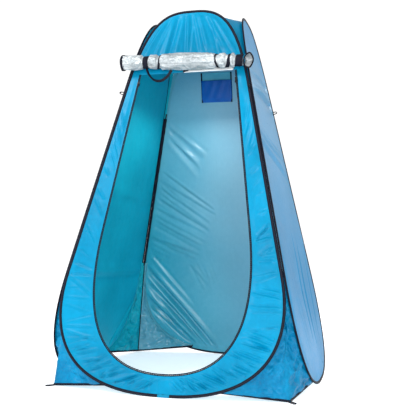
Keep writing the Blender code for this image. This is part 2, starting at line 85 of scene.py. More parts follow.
class Look:
    """A material under construction: its node tree, its shader and short ways to add to them."""

    def __init__(self, name):
        self.material = bpy.data.materials.new(name)
        self.material.use_nodes = True
        self.tree = self.material.node_tree
        self.shader = self.tree.nodes["Principled BSDF"]

    def node(self, kind, settings=(), **inputs):
        made = self.tree.nodes.new(kind)
        for key, value in dict(settings).items():
            setattr(made, key, value)
        for key, value in inputs.items():
            self.put(made.inputs[int(key[1:]) if key[0] == "_" else key.replace("_", " ")], value)
        return made

    def put(self, socket, value):
        if isinstance(value, bpy.types.NodeSocket):
            self.tree.links.new(value, socket)
        else:
            socket.default_value = value

    def math(self, operation, first, second=0.0):
        return self.node("ShaderNodeMath", {"operation": operation}, _0=first, _1=second).outputs[0]

    def noise(self, vector, scale, detail=3.0, roughness=0.5, distortion=0.0):
        return self.node("ShaderNodeTexNoise", Vector=vector, Scale=scale, Detail=detail,
                         Roughness=roughness, Distortion=distortion).outputs["Fac"]

    def between(self, value, low, high, start=0.0, end=1.0):
        """The value's range from low to high, stretched to the range from start to end."""
        return self.node("ShaderNodeMapRange", _0=value, _1=low, _2=high, _3=start, _4=end).outputs[0]

    def mixed(self, factor, first, second):
        made = self.node("ShaderNodeMix", {"data_type": "RGBA"}, _0=factor)
        self.put(made.inputs[6], (*first, 1) if isinstance(first, tuple) else first)
        self.put(made.inputs[7], (*second, 1) if isinstance(second, tuple) else second)
        return made.outputs[2]

    def scaled(self, vector, scale):
        return self.node("ShaderNodeVectorMath", {"operation": "MULTIPLY"}, _0=vector, _1=scale).outputs[0]

    def bump(self, height, distance, strength=1.0, normal=None):
        made = self.node("ShaderNodeBump", Height=height, Distance=distance, Strength=strength)
        if normal is not None:
            self.put(made.inputs["Normal"], normal)
        return made.outputs[0]

    def finish(self, **inputs):
        for key, value in inputs.items():
            self.put(self.shader.inputs[key.replace("_", " ")], value)
        return self.material


def threads(look, across, along, pitch):
    """The height of a plain weave: two sets of threads that cross."""
    turns = 2 * math.pi / pitch
    first = look.math("SINE", look.math("MULTIPLY", across, turns))
    second = look.math("SINE", look.math("MULTIPLY", along, turns))
    return look.math("MULTIPLY", first, second)


def painted_reflection_side(look, across, along, colour):
    """Painted reflection: the side walls go paler in the middle of their height."""
    pale = look.math("MULTIPLY", look.between(along, 0.40, 1.25), look.between(along, 1.78, 1.62))
    return look.mixed(pale, colour, (0.09, 0.36, 0.60))


def painted_reflection_back(look, across, along, colour):
    """Painted reflection: the back wall's inside goes from teal, low at one side, to grey, high at the other.
    """
    place = look.math("SUBTRACT", across, look.math("MULTIPLY", along, 0.30))
    return look.mixed(look.between(place, 0.25, -0.60), colour, (0.30, 0.53, 0.63))


THREAD = 0.0011


def cloth_look(name, dark, light, roughness, crinkle=0.0012, sheen=0.0, metallic=0.0, coat=0.0,
               patches=2.5, streak=(14.0, 3.0, 1.0), thin=0.0, facets=0.0, painted_light=None):
    """Thin coated cloth: a plain weave, fine creases, lighter patches and duller patches.

    thin is how much of its look is light from behind. facets is the scale of a crushed cloth's flats.
    The colour function, where one is given, paints reflection onto the colour by the place on the cloth.
    """
    look = Look(name)
    place = look.node("ShaderNodeTexCoord").outputs
    split = look.node("ShaderNodeSeparateXYZ", _0=place["UV"]).outputs
    broad = look.noise(place["Object"], patches, 2.0)
    fine = look.noise(place["Object"], patches * 11, 4.0, 0.6)
    tone = look.math("ADD", look.math("MULTIPLY", broad, 0.7), look.math("MULTIPLY", fine, 0.3))
    colour = look.mixed(look.between(tone, 0.35, 0.65), dark, light)
    wear = look.noise(place["Object"], 38.0, 5.0, 0.65)
    worn = look.between(wear, 0.3, 0.7, roughness - 0.05, roughness + 0.07)
    creases = look.noise(look.scaled(place["Object"], streak), 5.0, 5.0, 0.55, 0.8)
    small = look.noise(place["Object"], 55.0, 4.0, 0.6, 0.5)
    height = look.math("ADD", creases, look.math("MULTIPLY", small, 0.35))
    if painted_light:
        colour = painted_light(look, split[0], split[1], colour)
    if facets:
        swirl = look.node("ShaderNodeTexNoise", Vector=place["Object"], Scale=9.0).outputs["Color"]
        bent = look.node("ShaderNodeVectorMath", {"operation": "ADD"}, _0=place["Object"],
                         _1=look.scaled(swirl, (0.07, 0.07, 0.07)))
        cells = look.node("ShaderNodeTexVoronoi", Vector=bent.outputs[0], Scale=facets).outputs["Distance"]
        height = look.math("ADD", height, look.math("MULTIPLY", cells, 2.0))
    weave = look.bump(threads(look, split[0], split[1], THREAD), 0.00006, 0.35)
    normal = look.bump(height, crinkle, 0.6, weave)
    made = look.finish(
        Base_Color=colour, Roughness=worn, Metallic=metallic, Normal=normal, Specular_IOR_Level=0.18,
        Sheen_Weight=sheen, Sheen_Roughness=0.4, Coat_Weight=coat, Coat_Roughness=0.25)
    if thin:
        glow = look.node("ShaderNodeBsdfTranslucent", Color=colour, Normal=normal)
        both = look.node("ShaderNodeMixShader", _0=thin, _1=look.shader.outputs[0], _2=glow.outputs[0])
        look.put(look.tree.nodes["Material Output"].inputs[0], both.outputs[0])
    return made


STITCH = 0.0036


def tape_look(name, dark, light, roughness, rib=0.0022, stitch=None):
    """Woven tape: ribs across it and, at a stitch line's distance from its fold, a row of sunk stitches."""
    look = Look(name)
    place = look.node("ShaderNodeTexCoord").outputs
    split = look.node("ShaderNodeSeparateXYZ", _0=place["UV"]).outputs
    tone = look.noise(place["Object"], 60.0, 4.0, 0.6)
    colour = look.mixed(look.between(tone, 0.35, 0.7), dark, light)
    ribs = look.math("SINE", look.math("MULTIPLY", split[0], 2 * math.pi / rib))
    slubs = look.noise(place["Object"], 240.0, 3.0)
    height = look.math("ADD", look.math("MULTIPLY", ribs, 0.35), slubs)
    if stitch is not None:
        beside = look.math("ABSOLUTE", look.math("SUBTRACT", look.math("ABSOLUTE", split[1]), stitch))
        row = look.between(beside, 0.0005, 0.0009, 1.0, 0.0)
        wave = look.math("SINE", look.math("MULTIPLY", split[0], 2 * math.pi / STITCH))
        dash = look.between(wave, -0.5, -0.2)
        thread = look.math("MULTIPLY", row, dash)
        colour = look.mixed(thread, colour, (0.03, 0.034, 0.05))
        height = look.math("SUBTRACT", height, look.math("MULTIPLY", thread, 2.0))
    return look.finish(
        Base_Color=colour, Roughness=look.between(tone, 0.3, 0.7, roughness - 0.08, roughness + 0.08),
        Normal=look.bump(height, 0.00022, 0.7), Specular_IOR_Level=0.15)


def metal_look(name, dark, light, roughness, metallic, scratch=(20.0, 20.0, 400.0)):
    """Metal or lacquered metal with drawn scratches and rubbed patches."""
    look = Look(name)
    place = look.node("ShaderNodeTexCoord").outputs
    rubbed = look.noise(place["Object"], 90.0, 4.0, 0.6)
    drawn = look.noise(look.scaled(place["Object"], scratch), 3.0, 3.0)
    return look.finish(
        Base_Color=look.mixed(look.between(rubbed, 0.4, 0.7), dark, light),
        Roughness=look.between(drawn, 0.3, 0.7, roughness - 0.06, roughness + 0.1),
        Metallic=metallic, Normal=look.bump(drawn, 0.00004, 0.5), Specular_IOR_Level=0.3)


OUTER = cloth_look("outer_cloth", (0.0, 0.26, 0.47), (0.0, 0.37, 0.64), 0.36, thin=0.4)
# The side walls' own copy of the outer cloth: bluer, with painted reflection paling the middle of its height.
OUTER_SIDE_PAINTED_REFLECTION = cloth_look("outer_cloth_side_painted_reflection", (0.002, 0.30, 0.60), (0.01, 0.38, 0.72), 0.32, 0.0006, sheen=0.08,
                        thin=0.4, painted_light=painted_reflection_side)
# A darker copy of the blue cloth: its darker colour and mottled patches are painted shade of the crushed
# corners.
GUSSET_PAINTED_SHADE = cloth_look("gusset_cloth_painted_shade", (0.0, 0.17, 0.37), (0.001, 0.32, 0.60), 0.32, 0.009,
                    patches=6.0, streak=(5.0, 5.0, 5.0), thin=0.3, facets=17.0)
INNER_TEAL = cloth_look("inner_cloth_teal", (0.002, 0.40, 0.50), (0.01, 0.52, 0.62), 0.40, thin=0.4)
# A greyer copy of the inner cloth, for the back wall: the grey is painted reflection of the white
# surroundings.
INNER_PAINTED_REFLECTION = cloth_look("inner_cloth_painted_reflection", (0.02, 0.38, 0.50), (0.06, 0.48, 0.58), 0.26, coat=0.8, thin=0.4,
                        painted_light=painted_reflection_back)
SILVER = cloth_look("silver_cloth", (0.26, 0.30, 0.32), (0.50, 0.54, 0.56), 0.34, 0.009, metallic=0.3,
                    patches=12.0, streak=(6.0, 9.0, 9.0), facets=34.0)
LIP = cloth_look("lip_cloth", (0.66, 0.70, 0.72), (0.84, 0.86, 0.87), 0.4)
NAVY = cloth_look("navy_cloth", (0.002, 0.06, 0.30), (0.004, 0.11, 0.42), 0.45)
POCKET_BACK = cloth_look("pocket_back_cloth", (0.06, 0.34, 0.48), (0.12, 0.46, 0.58), 0.4)
BINDING = tape_look("black_binding", (0.001, 0.002, 0.008), (0.004, 0.005, 0.016), 0.62, stitch=0.0062)
WEBBING = tape_look("black_webbing", (0.001, 0.002, 0.007), (0.005, 0.006, 0.016), 0.66, 0.0018)
COIL = tape_look("zip_coil", (0.006, 0.007, 0.012), (0.018, 0.02, 0.034), 0.42, 0.0016)
STEEL = metal_look("spring_steel", (0.42, 0.43, 0.45), (0.6, 0.6, 0.61), 0.32, 1.0)
LACQUER = metal_look("black_lacquer", (0.003, 0.003, 0.006), (0.010, 0.010, 0.014), 0.35, 0.2)


# ---------------------------------------------------------------- shapes read from the frame


def wall_matrix(side):
    """The wall's frame: u, v and w as columns, origin at the foot of the wall."""
    across = Vector((1, 0, 0))
    up = Vector((0, LEAN, 1)).normalized()
    axes = Matrix((across, up, across.cross(up))).transposed().to_4x4()
    turn = Matrix.Rotation(SIDES[side] * math.pi / 2, 4, "Z")
    return turn @ Matrix.Translation((0, -BASE_HALF, 0)) @ axes


def points_of(node):
    return np.array([v.co for v in frame["nodes"][node].data.vertices], float)


def moved(points, matrix):
    """Points (any shape, 3 last) through a 4 by 4 matrix."""
    m = np.array(matrix)
    return points @ m[:3, :3].T + m[:3, 3]


def in_wall(node, side):
    return moved(points_of(node), wall_matrix(side).inverted())


def loop_of(points):
    """A closed outline from points of its rim, sorted anticlockwise round their middle from the bottom."""
    flat = np.unique(np.round(points[:, :2], 5), axis=0)
    middle = np.array([0, (flat[:, 1].min() + flat[:, 1].max()) / 2])
    turn = np.arctan2(*(flat - middle).T[::-1])
    return flat[np.argsort((turn + math.pi / 2) % (2 * math.pi))]


def lerp(a, b, t):
    return a + (b - a) * t


def distances(path):
    """How far along the path each of its points is."""
    return np.concatenate([[0], np.cumsum(np.linalg.norm(np.diff(path, axis=0), axis=1))])


def unit(vectors):
    return vectors / np.linalg.norm(vectors, axis=1)[:, None]


def outwards(path, closed):
    """Unit vectors square to a flat path, to its right. They point out of an anticlockwise one."""
    run = np.roll(path, -1, 0) - np.roll(path, 1, 0) if closed else np.gradient(path, axis=0)
    return unit(np.stack([run[:, 1], -run[:, 0]], axis=1))


STRAIGHT_RUN = 0.3


def straight(a, b):
    """The start of a segment, and points along it if it is one of the hoop's long straight runs."""
    count = 16 if np.linalg.norm(b - a) > STRAIGHT_RUN else 1
    return lerp(a[None], b[None], np.arange(count)[:, None] / count)


def resampled(path, count, closed=False):
    """Evenly spaced points on a smooth curve through the path."""
    path = np.asarray(path, float)
    if closed:
        path = np.concatenate([path[-3:], path, path[:4]])
        first, last = path[3], path[-4]
    path = np.concatenate([straight(a, b) for a, b in zip(path, path[1:])] + [path[-1:]])
    apart = np.linalg.norm(np.diff(path, axis=0), axis=1) > 1e-7
    path = path[np.concatenate([[True], apart])]
    steps = np.linalg.norm(np.diff(path, axis=0), axis=1)
    at = np.concatenate([[0], np.cumsum(steps)])
    slope = np.gradient(path, at, axis=0)
    start, end = at[0], at[-1]
    if closed:
        start = at[np.argmin(np.linalg.norm(path[: len(path) // 2] - first, axis=1))]
        half = len(path) // 2
        end = at[half + np.argmin(np.linalg.norm(path[half:] - last, axis=1))]
    fine = np.linspace(start, end, count * 8 + 1)
    i = np.clip(np.searchsorted(at, fine, side="right") - 1, 0, len(steps) - 1)
    h = steps[i]
    t = ((fine - at[i]) / h)[:, None]
    h = h[:, None]
    curve = ((1 + 2 * t) * (1 - t) ** 2 * path[i] + t * (1 - t) ** 2 * h * slope[i]
             + t**2 * (3 - 2 * t) * path[i + 1] + t**2 * (t - 1) * h * slope[i + 1])
    run = distances(curve)
    want = np.linspace(0, run[-1], count + 1 if closed else count)
    even = np.stack([np.interp(want, run, curve[:, k]) for k in range(path.shape[1])], axis=1)
    return even[:-1] if closed else even


def grown(loop, distance, closed=True):
    """An anticlockwise outline moved outwards."""
    return loop + distance * outwards(loop, closed)


def smooth(x):
    x = np.clip(x, 0, 1)
    return x * x * (3 - 2 * x)


back = points_of("back_wall")
BASE_HALF = float((back[:, 1] + LEAN * back[:, 2]).mean())
PANEL = loop_of(in_wall("back_wall", "back"))
WIRE = resampled(grown(PANEL, PANEL_EDGE), 720, True)
SHEET = resampled(PANEL, 720, True)
front = in_wall("front_wall", "front")
REACH = np.linalg.norm(front[:, None, :2] - PANEL[None], axis=2).min(axis=1)
DOOR = loop_of(front[REACH > 0.02])
DOOR_TOP = DOOR[:, 1].max()


def door_path(count):
    """The doorway from its top left corner, down, round the bottom and up to its top right corner."""
    corner = int(np.argmin(np.where(DOOR[:, 1] > DOOR_TOP - 0.005, DOOR[:, 0], 9)))
    return resampled(np.roll(DOOR, -corner, axis=0), count)


def right_half():
    """The right half of the sheet's outline, from the bottom up."""
    right = SHEET[SHEET[:, 0] >= 0]
    return right[np.argsort(right[:, 1])]


def half_width(v):
    """The sheet's half width at the length v up the wall."""
    right = right_half()
    return np.interp(v, right[:, 1], right[:, 0], left=0, right=0)


# ---------------------------------------------------------------- meshes


def placed(obj, body, slot, *nodes):
    """The piece rides with its body and stands in for its CAD nodes. The slot is not used."""
    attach(obj, body)
    if nodes:
        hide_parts(*nodes)
    return obj


def patch_grid(left, right, low, high, columns, rows):
    """u and v over an upright rectangle."""
    u = np.linspace(left, right, columns)[None] * np.ones((rows, 1))
    v = np.linspace(low, high, rows)[:, None] * np.ones((1, columns))
    return u, v


def piece(name, grids, looks, thickness=0.0, closed=(False, False)):
    """A mesh from grids of points, each (rows, columns, 3), with UVs in metres, welded where they meet.

    closed says whether rows and columns run round. A thickness makes both faces of a sheet: the looks are the
    outer and the inner face's, and a second pair of them is the second grid's.
    """
    mesh = bpy.data.meshes.new(name)
    shape = bmesh.new()
    uv = shape.loops.layers.uv.new("UVMap")
    for number, (grid, lengths) in enumerate(grids):
        rows, columns = grid.shape[:2]
        verts = [[shape.verts.new(p) for p in row] for row in grid]
        for i in range(rows if closed[0] else rows - 1):
            for j in range(columns if closed[1] else columns - 1):
                here = [(i, j), (i, j + 1), (i + 1, j + 1), (i + 1, j)]
                corners = [verts[a % rows][b % columns] for a, b in here]
                if len(set(corners)) < 3:
                    continue
                face = shape.faces.new(corners)
                face.smooth = True
                face.material_index = 2 * number if len(looks) == 4 else 0
                for loop, (a, b) in zip(face.loops, here):
                    loop[uv].uv = lengths[a % rows][b % columns]
    bmesh.ops.remove_doubles(shape, verts=shape.verts, dist=0.00001)
    loose = [v for v in shape.verts if not v.link_faces]
    bmesh.ops.delete(shape, geom=loose, context="VERTS")
    shape.to_mesh(mesh)
    shape.free()
    for look in looks:
        mesh.materials.append(look)
    obj = bpy.data.objects.new(name, mesh)
    bpy.context.scene.collection.objects.link(obj)
    if thickness:
        solid = obj.modifiers.new("Cloth", "SOLIDIFY")
        solid.thickness = thickness
        solid.offset = 0
        solid.material_offset = min(len(looks) - 1, 1)
        solid.material_offset_rim = 0
    return obj


def applied(obj):
    graph = bpy.context.evaluated_depsgraph_get()
    mesh = bpy.data.meshes.new_from_object(obj.evaluated_get(graph))
    obj.modifiers.clear()
    obj.data = mesh
    return obj


def folds(u, v, lines):
    """How far out the cloth stands at each point.

    A line is its start and end, each (u, v), and its width and height.
    """
    total = np.zeros_like(u)
    for (u0, v0), (u1, v1), width, height in lines:
        du, dv = u1 - u0, v1 - v0
        length = math.hypot(du, dv)
        along = ((u - u0) * du + (v - v0) * dv) / length**2
        aside = ((u - u0) * dv - (v - v0) * du) / length / width
        taper = np.clip(4 * along * (1 - along), 0, None) ** 0.6
        total += height * taper * (np.exp(-(aside**2)) - 0.6 * np.exp(-((aside - 1.5) ** 2) * 0.8))
    return total


def fan(count, start, end, width, height, jitter):
    """Fold lines from points along one segment to points along another."""
    lines = []
    for t in (np.arange(count) + RNG.uniform(0.2, 0.8, count)) / count:
        first = (1 - t) * np.array(start[0]) + t * np.array(start[1]) + RNG.normal(0, jitter, 2)
        second = (1 - t) * np.array(end[0]) + t * np.array(end[1]) + RNG.normal(0, jitter, 2)
        size = RNG.uniform(0.55, 1.3)
        lines.append((first, second, width * size, height * RNG.uniform(0.5, 1.2) * RNG.choice((1, 1, -0.7))))
    return lines


def billow(u, v, scale, height, seed):
    """Slow swells of the cloth."""
    flat = np.stack([u.ravel() * scale, v.ravel() * scale], axis=1)
    values = [noise.noise(Vector((a, b, seed))) for a, b in flat]
    return height * np.array(values).reshape(u.shape)


def edge_fade(u, v, loop, reach=HELD_EDGE):
    """0 at the loop and close to it, then up to 1 over the reach."""
    flat = np.stack([u.ravel(), v.ravel()], axis=1)
    nearest = np.full(len(flat), 9.0)
    for part in np.array_split(loop, 12):
        nearest = np.minimum(nearest, np.linalg.norm(flat[:, None] - part[None], axis=2).min(axis=1))
    return smooth((nearest - BARE_EDGE) / reach).reshape(u.shape)


def raised(u, v, out, side):
    """Points of a wall's sheet in the row frame, and their UVs."""
    return moved(np.stack([u, v, out], axis=-1), wall_matrix(side)), np.stack([u, v], axis=-1)


def full_grid(rows, columns):
    """u and v over a whole wall: level rows between the sheet's two edges."""
    half = resampled(right_half(), rows)
    v = half[:, 1][:, None] * np.ones(columns)
    u = half[:, 0][:, None] * np.linspace(-1, 1, columns)
    return u, v


def wall_sheet(side, lines, looks, swell, masks=()):
    """A whole wall's sheet. A mask is a rectangle that stays flat, and how far the folds take to die out."""
    u, v = full_grid(250, 120)
    out = folds(u, v, lines) + billow(u, v, 3.2, swell, SIDES[side] * 7.3)
    out *= edge_fade(u, v, SHEET)
    for (low, high), reach in masks:
        gap = np.maximum(np.maximum(low[0] - u, u - high[0]), np.maximum(low[1] - v, v - high[1]))
        out *= smooth(gap / reach)
    obj = piece(side + "_wall_sheet", [raised(u, v, out, side)], looks, CLOTH)
    placed(obj, side, "blue_polyester", side + "_wall")


def front_sheet():
    """The front wall: a U round the doorway and the dome above it."""
    across, along = 34, 900
    rim = door_path(along)
    top = DOOR_TOP
    start = int(np.argmin(np.abs(SHEET[:, 1] - top) + np.where(SHEET[:, 0] < 0, 0, 9)))
    end = int(np.argmin(np.abs(SHEET[:, 1] - top) + np.where(SHEET[:, 0] > 0, 0, 9)))
    count = (end - start) % len(SHEET)
    outer = SHEET[[(start + k) % len(SHEET) for k in range(count + 1)]]
    outer[0] = -half_width(top), top
    outer[-1] = half_width(top), top
    outer = resampled(outer, along)
    share = np.linspace(0, 1, across)[None, :, None]
    strip = outer[:, None] * (1 - share) + rim[:, None] * share
    edge = half_width(top)
    door = -rim[0][0] / edge
    side_columns = np.linspace(-1, -door, across)
    columns = np.concatenate([side_columns, np.linspace(-door, door, 66)[1:-1], -side_columns[::-1]])
    half = right_half()
    arc = resampled(np.concatenate([[[edge, top]], half[half[:, 1] > top + 0.002]]), 60)
    dome = np.stack([arc[:, :1] * columns, arc[:, 1:] * np.ones(len(columns))], axis=-1)
    lines = fan(9, ((-0.13, 1.93), (0.11, 1.93)), ((-0.33, 1.60), (0.33, 1.60)), 0.012, 0.011, 0.008)
    lines += fan(7, ((-0.22, 1.86), (0.22, 1.86)), ((-0.36, 1.60), (0.36, 1.60)), 0.007, 0.006, 0.01)
    lines += strip_folds(outer, rim)
    grids = []
    for grid in (strip[:, ::-1], dome):
        u, v = grid[..., 0], grid[..., 1]
        out = folds(u, v, lines) + billow(u, v, 4.0, 0.008, 3.1)
        out *= edge_fade(u, v, SHEET, 0.030) * edge_fade(u, v, rim, 0.022)
        under_roll = 0.0035 + 0.2 * np.clip(v - top - 0.12, 0, 0.1)
        out = np.where(v > top, np.minimum(out, under_roll), out)
        grids.append(raised(u, v, out, "front"))
    obj = piece("front_wall_sheet", grids, [OUTER, INNER_TEAL], CLOTH)
    placed(obj, "front", "blue_polyester", "front_wall")


def strip_folds(outer, rim):
    """Folds across the cloth beside the doorway: each runs from the hoop down to the doorway's edge.

    The share of the way round the doorway is 0 at its top left and 0.5 at the bottom.
    """
    lines = []
    last = len(outer) - 1
    for (start, end), count, slant, height in STRIP_FOLDS:
        for t in np.linspace(start, end, count) + RNG.normal(0, 0.004, count):
            lean = slant * RNG.uniform(0.6, 1.4)
            first = outer[int(np.clip(t, 0, 1) * last)]
            second = rim[int(np.clip(t + lean, 0, 1) * last)]
            size = RNG.uniform(0.5, 1.4)
            reach = RNG.uniform(0.55, 1.15)
            lines.append((lerp(first, second, -0.2), lerp(first, second, reach), 0.0055 * size,
                          1.4 * height * size * RNG.choice((1, 1, -0.8))))
    return lines


STRIP_FOLDS = (  # range round the doorway, number, slant and height
    ((0.04, 0.22), 9, 0.05, 0.0026),
    ((0.24, 0.34), 9, 0.05, 0.0040),
    ((0.34, 0.47), 26, 0.035, 0.0052),
    ((0.47, 0.53), 5, 0.0, 0.0030),
    ((0.53, 0.66), 30, -0.03, 0.0058),
    ((0.66, 0.80), 15, -0.045, 0.0048),
    ((0.82, 0.96), 8, -0.05, 0.0028),
)


# ---------------------------------------------------------------- the hoops' sleeves

SLEEVE_SECTION = (  # towards the hoop's outside, and out of the wall
    (SLEEVE_NOSE, 0.0), (0.0045, 0.0023), (0.0026, 0.0038), (0.0, 0.0044), (-0.0028, 0.0039),
    (-0.0048, 0.0024), (-0.0062, 0.0013), (-SLEEVE_LIP, 0.0011),
    (-SLEEVE_LIP, 0.0003), (-0.0060, -0.0004), (-0.0046, -0.0022), (-0.0028, -0.0037), (0.0, -0.0044),
    (0.0026, -0.0038), (0.0045, -0.0023),
)


def swept(path, section, closed):
    """Points of a section carried along a flat path: (stations, section points, 3) as u, v, w."""
    out = outwards(path, closed)
    section = np.asarray(section)
    flat = path[:, None] + out[:, None] * section[None, :, :1]
    lift = np.broadcast_to(section[None, :, 1:], (*flat.shape[:2], 1))
    return np.concatenate([flat, lift], axis=2)


def sleeve(side):
    """The binding sleeve with the wire's bulge in it, its lips puckered by the stitching."""
    grid = swept(WIRE, SLEEVE_SECTION, True)
    run = distances(WIRE)
    pucker = np.array([noise.noise(Vector((s * 45, SIDES[side] * 5.1, 0))) for s in run])
    inner = np.array(SLEEVE_SECTION)[:, 0]
    lips = np.abs(inner) / SLEEVE_LIP * (inner < -0.004)
    grid[..., 2] += 0.0007 * pucker[:, None] * lips
    depth = np.array([math.copysign(a - SLEEVE_NOSE, b) for a, b in SLEEVE_SECTION])
    lengths = np.stack(np.broadcast_arrays(run[:, None], depth[None]), axis=-1)
    obj = piece(side + "_sleeve_cloth", [(moved(grid, wall_matrix(side)), lengths)], [BINDING],
                closed=(True, True))
    placed(obj, side, "black_binding", side + "_sleeve")


JOIN_MIDDLE = 0.014
JOIN_HALF = 0.033
JOIN_CLOTH = 0.0009


def sleeve_join():
    """A short blue cover over the join in the front hoop's binding, at the bottom."""
    near = WIRE[(np.abs(WIRE[:, 0] - JOIN_MIDDLE) < JOIN_HALF) & (WIRE[:, 1] < 0.2)]
    near = resampled(near[np.argsort(near[:, 0])], 24)
    section = np.array(SLEEVE_SECTION)
    section = section + JOIN_CLOTH * unit(section)
    grid = swept(near, section, False)
    obj = piece("front_sleeve_join", [(moved(grid, wall_matrix("front")), uv_of(grid))], [OUTER],
                closed=(False, True))
    placed(obj, "front", "blue_polyester")


# ---------------------------------------------------------------- roof and gussets


RIDGE_STEEP = 2.6
FINER = 2.3  # how much smaller the second set of ridges is
FINER_SHARE = 0.4


def crumple(points, scale, height, seed):
    """Ridged noise at each point, for cloth that is crushed into facets."""
    flat = points.reshape(-1, 3) * scale
    values = []
    for p in flat:
        here = Vector(p) + Vector((seed, seed * 2.3, 0))
        ridge = 1 - RIDGE_STEEP * abs(noise.noise(here))
        finer = 1 - RIDGE_STEEP * abs(noise.noise(here * FINER + Vector((5, 1, 3))))
        values.append(ridge + FINER_SHARE * finer)
    return height * np.array(values).reshape(points.shape[:-1])


def normals_of(grid):
    down, over = np.gradient(grid, axis=0), np.gradient(grid, axis=1)
    normal = np.cross(down, over)
    return normal / np.maximum(np.linalg.norm(normal, axis=-1), 1e-9)[..., None]


def fade_inside(rows, columns, reach_rows, reach_columns):
    """1 inside a grid, 0 at its border."""
    a = np.minimum(np.arange(rows), np.arange(rows)[::-1]) / reach_rows
    b = np.minimum(np.arange(columns), np.arange(columns)[::-1]) / reach_columns
    return smooth(a)[:, None] * smooth(b)[None]


CORNERS = {  # the two walls at each corner, each with its hand (1 is right), and the bodies the cloth follows
    "front_left": ("front", -1, "left", 1, "front", "left"),
    "front_right": ("front", 1, "right", -1, "front", "right"),
    "back_left": ("left", -1, "back", 1, "left", "back"),
    "back_right": ("right", 1, "back", -1, None, None),
}


GUSSET_HIDDEN = 0.011  # how far inside the wire the gusset's and the roof's cloth starts
LAP = 0.022  # how far inside the wire the gusset's raw edge lies on the wall
LAP_DEEP = 0.0012  # and how far behind the wall's plane
SLEEVE_DEEP = 0.0052  # the cloth passes this far behind the wall's plane, behind the sleeve
TIP_HEIGHT = 0.575
TOE_REACH = 0.22
GROUND = 0.0006
CREASE_BOW = 0.9  # below 1, the crease's points crowd towards its foot
GUSSET_CRUMPLE = (15.0, 0.013)  # facets in a metre, and their height


def gusset_edge(side, hand, rows, inside=GUSSET_HIDDEN, deep=SLEEVE_DEEP):
    """A line along a hoop, inside its wire, from the gusset's tip down to its toe, in the row frame."""
    hug = grown(WIRE, -inside)
    right = hug[(hug[:, 0] > TOE_REACH) & (hug[:, 1] < TIP_HEIGHT * SLANT)]
    line = resampled(right[np.argsort(-right[:, 1])], rows)
    flat = np.stack([hand * line[:, 0], line[:, 1], np.full(rows, -deep)], axis=1)
    flat[:, 1] = np.maximum(flat[:, 1], 0.004)
    return moved(flat, wall_matrix(side))


def corner_point(name):
    """Where a gusset's crease meets the ground: the inner end of the corner's peg loop."""
    points = points_of("peg_loop_" + name)
    nearest = points[np.argmin(np.abs(points[:, :2]).sum(axis=1))]
    reach = float(np.abs(points[:, :2]).sum(axis=1).min()) / 2 - 0.002
    return np.array([math.copysign(reach, nearest[0]), math.copysign(reach, nearest[1]), GROUND])


def above_ground(grid):
    grid[..., 2] = np.maximum(grid[..., 2], GROUND)
    return grid


def gusset_grid(name, rows=84, columns=27):
    """Both halves of a gusset: from one hoop to the crease and from the crease to the other hoop."""
    first_side, first_hand, second_side, second_hand = CORNERS[name][:4]
    corner = corner_point(name)
    first = above_ground(gusset_edge(first_side, first_hand, rows))
    second = above_ground(gusset_edge(second_side, second_hand, rows))
    high = (first[0] + second[0]) / 2
    share = np.linspace(0, 1, rows)[:, None]
    crease = lerp(high[None], corner[None], share**CREASE_BOW)
    t = np.linspace(0, 1, columns)[None, :, None]
    halves = [lerp(first[:, None], crease[:, None], t), lerp(crease[:, None], second[:, None], t)]
    made = []
    laps = [gusset_edge(side, hand, rows, LAP, LAP_DEEP)
            for side, hand in ((first_side, first_hand), (second_side, second_hand))]
    fade = fade_inside(rows, columns, 7, 5)
    for k, half in enumerate(halves):
        height = crumple(half, *GUSSET_CRUMPLE, 3.1 * (k + 1) + np.sign(corner[0])) * fade
        away = half + normals_of(half) * height[..., None]
        lap = laps[k][:, None]
        made.append(above_ground(np.concatenate([lap, away] if k == 0 else [away, lap], axis=1)))
    return made


def uv_of(grid):
    """Lengths along a grid's rows and columns."""
    over = np.cumsum(np.linalg.norm(np.diff(grid, axis=1, prepend=grid[:, :1]), axis=2), axis=1)
    down = np.cumsum(np.linalg.norm(np.diff(grid, axis=0, prepend=grid[:1]), axis=2), axis=0)
    return np.stack([over, down], axis=-1)


def flatten_onto(obj, side):
    """The piece gets a mesh of its own and rides with its own wall."""
    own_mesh(obj)
    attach(obj, side)


def blend_corner(obj):
    """The piece's transform is baked into its mesh."""
    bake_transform(obj)


def gusset(name):
    """A corner's gusset. The back right one is in two parts, as its corner opens when the tent folds."""
    first_side, first_hand, second_side, second_hand, body = CORNERS[name][:5]
    halves = gusset_grid(name)
    nodes = [f"{first_side}_gusset_{'right' if first_hand == 1 else 'left'}",
             f"{second_side}_gusset_{'right' if second_hand == 1 else 'left'}"]
    inner = [INNER_PAINTED_REFLECTION if side == "back" else INNER_TEAL for side in (first_side, second_side)]
    looks = [GUSSET_PAINTED_SHADE, inner[0], GUSSET_PAINTED_SHADE, inner[1]]
    order = 1 if name in ("front_left", "back_left") else -1  # the order of columns that faces outwards
    if body:
        grids = [(g[:, ::order], uv_of(g)) for g in halves]
        obj = applied(piece(f"gusset_{name}", grids, looks, CLOTH))
        blend_corner(obj)
        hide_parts(*nodes)
    else:
        for g, side, node in zip(halves, (first_side, second_side), nodes):
            obj = applied(piece(f"gusset_{name}_{side}", [(g[:, ::-1], uv_of(g))], looks[:2], CLOTH))
            flatten_onto(obj, side)
            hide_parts(node)
    for g, side in zip(halves, (first_side, second_side)):
        hem(name, side, g[-1])
    crease_piping(name, halves[1][:, 0])


def crease_piping(name, crease):
    """The dark stitched line along the inside of a gusset's crease."""
    corner = corner_point(name)
    inwards = np.array([-math.copysign(0.0022, corner[0]), -math.copysign(0.0022, corner[1]), 0.0])
    body = "right" if name == "back_right" else CORNERS[name][4]
    path = resampled(crease[2:-2] + inwards, 90)
    obj = tube(f"gusset_crease_{name}_piping", path, 0.0026, BINDING)
    if name == "back_right":
        flatten_onto(obj, body)
    else:
        blend_corner(obj)


